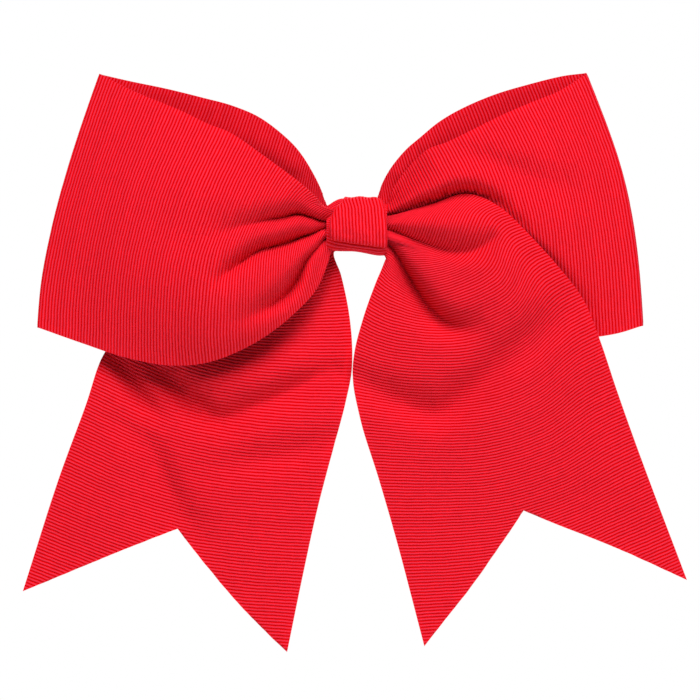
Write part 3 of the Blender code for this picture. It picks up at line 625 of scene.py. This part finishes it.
def hot_glue():
    """Cloudy, slightly yellow, glossy glue with small bubbles and a wavy skin."""
    made, tree = new_material("hot_glue_clear")
    place = object_place(tree)
    cloud = noise(tree, place, 450.0, 4.0)
    ramp = node(tree, "ShaderNodeValToRGB", [(0, cloud)])
    ramp.color_ramp.elements[0].color = (0.62, 0.57, 0.45, 1)
    ramp.color_ramp.elements[1].color = (0.86, 0.83, 0.74, 1)
    bubbles = node(tree, "ShaderNodeTexVoronoi", [("Vector", place), ("Scale", 900.0)]).outputs["Distance"]
    set_shader(tree, Base_Color=ramp.outputs[0], Roughness=plus(tree, 0.12, cloud, 0.22),
               Subsurface_Weight=0.35, Subsurface_Radius=(1.0, 0.8, 0.5), Subsurface_Scale=0.0012,
               Normal=bumps(tree, plus(tree, cloud, bubbles, 0.5), 0.35, 0.0002))
    return made


def plated_steel(name, colour, rough, brushed):
    """Nickel-plated pressed steel: fine drawing lines, a mottled plate, and edges worn bright."""
    made, tree = new_material(name)
    place = object_place(tree)
    stretched = node(tree, "ShaderNodeMapping", [("Vector", place), ("Scale", brushed)]).outputs[0]
    lines = noise(tree, stretched, 1.0, 5.0)
    mottle = noise(tree, place, 260.0, 4.0)
    pointed = node(tree, "ShaderNodeNewGeometry").outputs["Pointiness"]
    worn = maths(tree, "MULTIPLY", maths(tree, "SUBTRACT", pointed, 0.5, clamp=True), 4.0, clamp=True)
    value = varied(tree, varied(tree, 0.86, lines, 0.16), mottle, 0.18)
    value = plus(tree, value, worn, 0.3)
    roughness = plus(tree, plus(tree, rough - 0.09, lines, 0.10), mottle, 0.12)
    set_shader(tree, Base_Color=shaded(tree, colour, value), Metallic=1.0, Roughness=roughness,
               Normal=bumps(tree, lines, 0.25, 0.00003))
    return made


ribbon_red = grosgrain("grosgrain_red", (0.675, 0.026, 0.056, 1.0))
knot_red = grosgrain("grosgrain_knot_red", (0.70, 0.026, 0.057, 1.0))
thread_red = sewing_thread()
glue = hot_glue()
nickel = plated_steel("clip_nickel", (0.78, 0.77, 0.74, 1), 0.3, (30.0, 900.0, 900.0))
pin_steel = plated_steel("pin_nickel", (0.74, 0.73, 0.71, 1), 0.26, (700.0, 700.0, 60.0))
spring_wire = plated_steel("spring_wire", (0.62, 0.61, 0.60, 1), 0.24, (400.0, 400.0, 400.0))

# ---------------- making the ribbon

left_front, _, left_front_ends = surface_of(LEFT_FRONT)
left_back, _, left_back_ends = surface_of(LEFT_BACK)
left_tail, left_tail_start, left_tail_ends = surface_of(LEFT_TAIL)
right_tail, right_tail_start, right_tail_ends = surface_of(RIGHT_TAIL)
right_front, _, right_front_ends = surface_of(RIGHT_FRONT)
right_back, _, right_back_ends = surface_of(RIGHT_BACK)
settle(left_front, left_back)
settle(left_back, left_tail)
settle(right_tail, right_front)
settle(right_front, right_back)


def fishtail(layer, start, inset=0.1):
    """Where each column of a tail starts: at its V-shaped cut, a little inside the layer's outer end."""
    middle, depth, first_bow, second_bow = layer["cut"]
    rise = np.where(SHARES < middle, SHARES / middle, (1 - SHARES) / (1 - middle))
    bow = np.where(SHARES < middle, first_bow, second_bow) * 4 * rise * (1 - rise)
    return start + depth * rise + bow + inset


left_tip, right_tip = fishtail(LEFT_TAIL, left_tail_start), fishtail(RIGHT_TAIL, right_tail_start)
strips = {
    "left_loop": loop_strip(left_front, left_back, left_front_ends, left_back_ends),
    "right_loop": loop_strip(right_front, right_back, right_front_ends, right_back_ends),
    "left_tail": (left_tail, left_tip, left_tail_ends),
    "right_tail": (right_tail, right_tip, right_tail_ends),
}
for body, (strip, low, high) in strips.items():
    piece = ribbon_piece(body + "_ribbon", strip, low, high)
    piece.data.materials.append(ribbon_red)
    if body.endswith("tail"):
        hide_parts(body, body + "_neck")
    else:
        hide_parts(body)
    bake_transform(piece)


# ---------------- the knot

def turn_foot(x):
    """z of the lower edge of the front band."""
    return -4.9 - 0.15 * x


def wrap_foot(x):
    """z of the lowest part of the wrap."""
    return -6.7 - 1.6 * smooth(x, -2.0, 9.0)


def wrap_top(x):
    """z of the highest part of the wrap."""
    return 6.1 + 1.25 * smooth(x, -9.2, -4.0) - 1.0 * smooth(x, 4.5, 9.0) + 0.08 * np.sin(1.1 * x)


def wrap_path(x):
    """The wrap's middle line at x: up the back, over the top, down the front, under and over its start."""
    top, foot, fold = wrap_top(x), wrap_foot(x), turn_foot(x)
    shy = 1.2 * smooth(-x, 1.5, 6.0)  # the left of the wrap's front lies further back
    return [(x, -1.3, -2.4), (x, -1.3, 1.2), (x, -1.5, top - 2.8), (x, -3.2, top - 0.7), (x, -7.0, top),
            (x, -11.2, top), (x, shy - 13.6, top - 1.2), (x, shy - 14.5, top - 3.6), (x, -14.5, 0.8),
            (x, -14.6, fold + 2.2), (x, -14.9, fold + 0.6), (x, -14.8, fold - 0.4), (x, -14.2, fold - 1.3),
            (x, -13.2, foot + 0.25), (x, -11.8, foot), (x, -8.0, foot + 0.1), (x, -3.6, foot + 0.4),
            (x, -1.3, -5.4), (x, -0.2, -3.4), (x, 0.15, -1.0), (x, 0.15, 3.0)]


def wrap_grid(columns=25, left=-8.5, right=8.3, curl=0.9):
    """Rows follow the same stations of every column's path, so that the ribs lie along the folds. The edges
    of the wrap's front curl in towards the bundle."""
    lines = np.stack([dense_curve(wrap_path(x)) for x in np.linspace(left, right, columns)], axis=1)
    run = arc_lengths(lines[:, columns // 2])
    rows = np.interp(np.arange(0, run[-1], 1.0), run, np.arange(len(run)))
    low = np.floor(rows).astype(int)
    part = (rows - low)[:, None, None]
    grid = lines[low] * (1 - part) + lines[np.minimum(low + 1, len(lines) - 1)] * part
    inward = curl * np.abs(np.linspace(-1, 1, columns)) ** 6
    centre = np.array([0.0, -7.6, 0.0])
    away = (grid - centre) * [0, 1, 1]
    on_front = smooth(-grid[..., 1], 3.0, 6.0)[..., None]
    return grid - on_front * inward[None, :, None] * away / np.linalg.norm(away, axis=-1, keepdims=True)


def turn_grid(columns=49, roll=0.9, tuck=1.2, face=20.0):
    """The front band: ribs run up and down, its sides roll back with this radius, and its top goes over the
    knot. Its rows cross the face and a tuck on either side."""
    # share of the way from top to bottom, y, how far z follows the top line, offset in z
    stations = dense_curve([(0.0, -12.6, 1.0, 0.0), (0.07, -14.2, 1.0, 0.0), (0.15, -15.6, 1.0, -0.5),
                            (0.26, -16.9, 1.0, -1.9), (0.40, -17.7, 0.75, -0.6), (0.60, -18.1, 0.38, 0.0),
                            (0.78, -17.7, 0.0, 1.9), (0.88, -17.2, 0.0, 0.6), (0.93, -16.7, 0.0, 0.05),
                            (0.97, -16.2, 0.0, 0.4), (1.0, -16.0, 0.0, 1.2)])
    share = np.linspace(0, 1, columns)
    y, weight, offset = (np.interp(share, stations[:, 0], stations[:, k]) for k in (1, 2, 3))
    left = through((0.0, 0.2, 0.3, 0.42, 0.55, 0.7, 0.88, 1.0),
                   (-3.0, -3.8, -4.9, -6.4, -7.3, -7.7, -7.4, -7.0), share)
    right = through((0.0, 0.2, 0.32, 0.5, 0.8, 1.0), (6.6, 7.2, 7.7, 8.0, 8.2, 8.0), share)
    corner = roll * math.pi / 2
    front = (right - left - 2 * roll)[None, :]
    u = np.arange(0, face + 2 * tuck)[:, None] - tuck - corner
    # past the front on either side, the angle turned through and how far straight back
    past = np.where(u < 0, -u, np.maximum(u - front, 0))
    angle = np.minimum(past / roll, math.pi / 2)
    side = np.where(u < 0, 1.0, -1.0)
    edge = np.where(u < 0, right[None, :] - roll, left[None, :] + roll)
    x = np.where(past > 0, edge + side * roll * np.sin(angle), right[None, :] - roll - u)
    back = roll * (1 - np.cos(angle)) + np.maximum(past - corner, 0)
    crown = 0.35 * np.sin(math.pi * np.clip(u / front, 0, 1)) ** 0.7
    top = 8.0 + 0.16 * np.sin(1.25 * x + 0.6) - 1.3 * smooth(x, 4.2, 8.6)
    z = weight * top + (1 - weight) * turn_foot(x) + offset
    # hand-pulled cloth isn't flat: shallow hollows between a few ribs
    dent = 0.18 * np.sin(0.9 * x + 0.5 * z) * np.sin(0.5 * z + 1.0)
    return np.stack([x, y + back - crown + dent, z], axis=-1)


knot_strips = (
    ("knot_wrap_ribbon", "knot_wrap", wrap_grid(), 16.8, ["clip_top_jaw"]),
    ("knot_front_band", "knot_turn", turn_grid(), 27.0, ["knot_wrap_ribbon"]),
)
bands = {}
for name, stand_in, grid, width, _ in knot_strips:
    low, high = np.zeros(grid.shape[1]), np.full(grid.shape[1], len(grid) - 1.0)
    bands[name] = ribbon_piece(name, grid, low, high, width=width, border=0.16 * width)
    bands[name].data.materials.append(knot_red)
    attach(bands[name], "bow")
    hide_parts(stand_in)

# ---------------- inside the knot: pleats, thread and glue

PINCH_END = 1.4  # x at either end of the pinch
PINCH_SIDES = (3.7, 4.9)  # its half sizes there, in y and z
PINCH_WAIST = 0.22  # how much narrower it is in the middle
PINCH_Y = -8.7  # of its axis


def pinch_point(x, angle, scale=1.0, out=0.0):
    """y and z of a point on the pinch, a rounded rectangle that is narrowest in the middle."""
    waist = 1 - PINCH_WAIST * math.cos(x / PINCH_END * math.pi / 2) ** 2
    half_y, half_z = (half * waist * scale + out for half in PINCH_SIDES)
    c, s = math.cos(angle), math.sin(angle)
    reach = (abs(c / half_y) ** 3 + abs(s / half_z) ** 3) ** (-1 / 3)
    return PINCH_Y + reach * c, reach * s


def pleated_centre(around=96, rings=15):
    """The pinched middle of the ribbon between the ends of its layers: a waisted core with pleats along x."""
    points, over = [], []
    for x in np.linspace(-PINCH_END, PINCH_END, rings):
        for k, angle in enumerate(full_turn(around)):
            pleat = 1 - 0.07 * abs(math.sin(6 * angle)) ** 0.5
            points.append((x, *pinch_point(x, angle, scale=pleat)))
            over.append(0.3 * k)
    fields = [("along", [x + 10 for x, _, _ in points]), ("over", over)]
    return mesh_object("pleated_centre", points, tube_faces(rings, around, capped=True), fields, sharp=60)


def swept(name, path, radius, sides=10):
    """A round thread or wire along a path, with domed ends. Carries along and over in millimetres."""
    path = np.asarray(path, float)
    ahead = np.gradient(path, axis=0)
    ahead /= np.linalg.norm(ahead, axis=1, keepdims=True)
    run = arc_lengths(path)
    angles = full_turn(sides)[:, None]
    side = np.cross(ahead[0], [0.3, 0.5, 0.81])  # any direction that isn't the wire's
    rings = []
    for place, forward in zip(path, ahead):
        side = side - forward * (side @ forward)
        side /= np.linalg.norm(side)
        other = np.cross(forward, side)
        rings.append(place + radius * (np.cos(angles) * side + np.sin(angles) * other))
    dome = 0.7 * radius
    points = np.concatenate([*rings, [path[0] - ahead[0] * dome], [path[-1] + ahead[-1] * dome]])
    first_tip, last_tip = len(points) - 2, len(points) - 1
    last = (len(path) - 1) * sides
    faces = tube_faces(len(path), sides)
    for a in range(sides):
        b = (a + 1) % sides
        faces += [[first_tip, b, a], [last_tip, last + a, last + b]]
    along = [*np.repeat(run, sides), 0.0, run[-1]]
    over = [*np.tile(angles[:, 0] * radius, len(path)), 0.0, 0.0]
    return mesh_object(name, points, faces, [("along", along), ("over", over)])


def thread_winding(turns=5, per_turn=48, radius=0.19, spread=0.8):
    """Several turns of sewing thread pulled tight round the pleats."""
    steps = turns * per_turn
    path = []
    for k in range(steps + 1):
        x = spread * (2 * k / steps - 1)
        path.append((x, *pinch_point(x, 2 * math.pi * k / per_turn, out=0.22)))
    return swept("thread_winding", path, radius, sides=8)


def glue_layer(name, low, high, spill=0.5, around=36, rings=24):
    """A thin pad of hot glue between two corners, squeezed out past them a little, with a wavy rim."""
    centre, half = (np.array(high) + low) / 2, (np.array(high) - low) / 2
    points = []
    for level in np.linspace(-1, 1, rings):
        inner = 0.9 + 0.1 * max(1 - abs(level) ** 3, 0.02) ** (1 / 3)
        for a in full_turn(around):
            c, s = math.cos(a), math.sin(a)
            reach = (abs(c) ** 4 + abs(s) ** 4) ** -0.25
            rim = 1 + spill * (0.5 * math.sin(3 * a + 0.7) + 0.3 * math.sin(7 * a + 2.0)) / half[0]
            points.append(centre + half * (c * reach * rim * inner, level, s * reach * rim * inner))
    return mesh_object(name, points, tube_faces(rings, around, capped=True), sharp=70)


hidden = (
    (pleated_centre(), ribbon_red, "ribbon", "ribbon_gather"),
    (thread_winding(), thread_red, "thread", "binding_thread"),
    (glue_layer("wrap_seam_glue", (-7.2, -0.95, -2.2), (7.2, -0.25, 2.8)), glue, "hot_glue", "seam_glue"),
    (glue_layer("clip_glue_pad", (-6.6, -3.9, -4.0), (6.6, -2.65, 4.0)), glue, "hot_glue", "clip_glue_bed"))
for piece, finish, slot, stand_in in hidden:
    piece.data.materials.append(finish)
    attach(piece, "bow")
    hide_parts(stand_in)

# ---------------- the clip

CLIP_PIVOT = (-13.0, 0.8)  # x and y of the pin's axis


def torsion_spring(wire=0.3, coil=1.65, turns=6.5, reach=2.04, per_turn=28, leg_steps=14):
    """One helix round the pin, with a leg under the fixed lever and a leg under the moving lever."""
    px, py = CLIP_PIVOT
    steps = int(turns * per_turn)
    k = np.arange(steps + 1)
    angle = 2 * math.pi * k / per_turn - math.pi / 2
    helix = [px + coil * np.cos(angle), py + coil * np.sin(angle), reach * (2 * k / steps - 1)]
    foot = px - 0.4
    fixed_leg = np.linspace((-25.0, -2.7, -reach), (foot, py - coil, -reach), leg_steps, endpoint=False)
    free_leg = np.linspace((foot, py + coil, reach), (-25.0, 5.25, reach), leg_steps + 1)[1:]
    path = np.concatenate([fixed_leg, np.transpose(helix), free_leg])
    return swept("clip_torsion_spring", path, wire, sides=12)


def softened(name, node_name, width=0.12):
    """The CAD node's shape with its sheet-metal edges rounded."""
    shape = bmesh.new()
    shape.from_mesh(bpy.data.objects[node_name].data)
    bmesh.ops.remove_doubles(shape, verts=shape.verts, dist=1e-6)
    bmesh.ops.dissolve_limit(shape, angle_limit=math.radians(2), verts=shape.verts, edges=shape.edges)
    mesh = bpy.data.meshes.new(name)
    shape.to_mesh(mesh)
    shape.free()
    made = placed(name, mesh)
    bevel = made.modifiers.new("rounded", "BEVEL")
    bevel.width = width / 1000
    bevel.segments = 2
    bevel.limit_method = "ANGLE"
    bevel.angle_limit = math.radians(32)
    graph = bpy.context.evaluated_depsgraph_get()
    finished = bpy.data.meshes.new_from_object(made.evaluated_get(graph))
    made.modifiers.clear()
    made.data = finished
    finished.shade_smooth()
    finished.set_sharp_from_angle(angle=math.radians(50))
    return made


for node_name, body, finish, name in (("clip_top_jaw", "bow", nickel, "fixed_jaw"),
                                      ("clip_bottom_jaw", "clip_jaw", nickel, "moving_jaw"),
                                      ("clip_pin", "bow", pin_steel, "hinge_pin")):
    piece = softened(name, node_name)
    piece.data.materials.clear()
    piece.data.materials.append(finish)
    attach(piece, body)
    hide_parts(node_name)

spring = torsion_spring()
spring.data.materials.append(spring_wire)
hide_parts("clip_spring_fixed", "clip_spring_free")
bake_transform(spring)

# ---------------- set, light and camera

FLOOR_RADIUS, FLOOR_HEIGHT = 800.0, -250.0
AMBIENT, REFLECTED = 0.08, 0.01  # strength of the white surround in matt and in glossy finishes
LIT_PLACE = (0, 0, -0.03)  # metres
EYE = (-2.0, -1300.0, -34.7)
FRONT_Y, HALF_VIEW = -14.0, 98.0  # the view reaches this far to each side at the plane of the bow's front


def stage_floor():
    rim = [(FLOOR_RADIUS * math.cos(a), FLOOR_RADIUS * math.sin(a), FLOOR_HEIGHT) for a in full_turn(96)]
    made = mesh_object("floor", rim, [list(range(len(rim)))])
    finish, tree = new_material("floor_white")
    set_shader(tree, Base_Color=(0.85, 0.85, 0.85, 1), Roughness=0.8)
    made.data.materials.append(finish)


def area_light(name, place, size, power):
    """A square light, placed in metres, that points at the bow."""
    data = bpy.data.lights.new(name, "AREA")
    data.shape = "SQUARE"
    data.size = size
    data.energy = power
    made = placed(name, data)
    made.location = place
    made.rotation_euler = (Vector(LIT_PLACE) - Vector(place)).to_track_quat("-Z", "Y").to_euler()
    return made


stage_floor()
key = area_light("key", (0.12, -1.0, 0.95), 0.75, 29.0)
key.visible_glossy = False  # so that it leaves no glints on the ribbon
area_light("behind", (0.3, 0.9, 0.6), 0.8, 14.0)

scene = bpy.context.scene
scene.world = bpy.data.worlds.new("studio")
scene.world.use_nodes = True
tree = scene.world.node_tree
rays = node(tree, "ShaderNodeLightPath").outputs
glow = plus(tree, rays["Is Camera Ray"], rays["Is Diffuse Ray"], AMBIENT)
sky = tree.nodes["Background"]
sky.inputs["Color"].default_value = (1, 1, 1, 1)
feed(tree, sky.inputs["Strength"], plus(tree, glow, rays["Is Glossy Ray"], REFLECTED))
scene.view_settings.view_transform = "Standard"

scene.camera = placed("camera", bpy.data.cameras.new("camera"))
scene.camera.location = metres(EYE)
scene.camera.rotation_euler = (math.pi / 2, 0, 0)
scene.camera.data.lens_unit = "FOV"
scene.camera.data.angle = 2 * math.atan(HALF_VIEW / (FRONT_Y - EYE[1]))
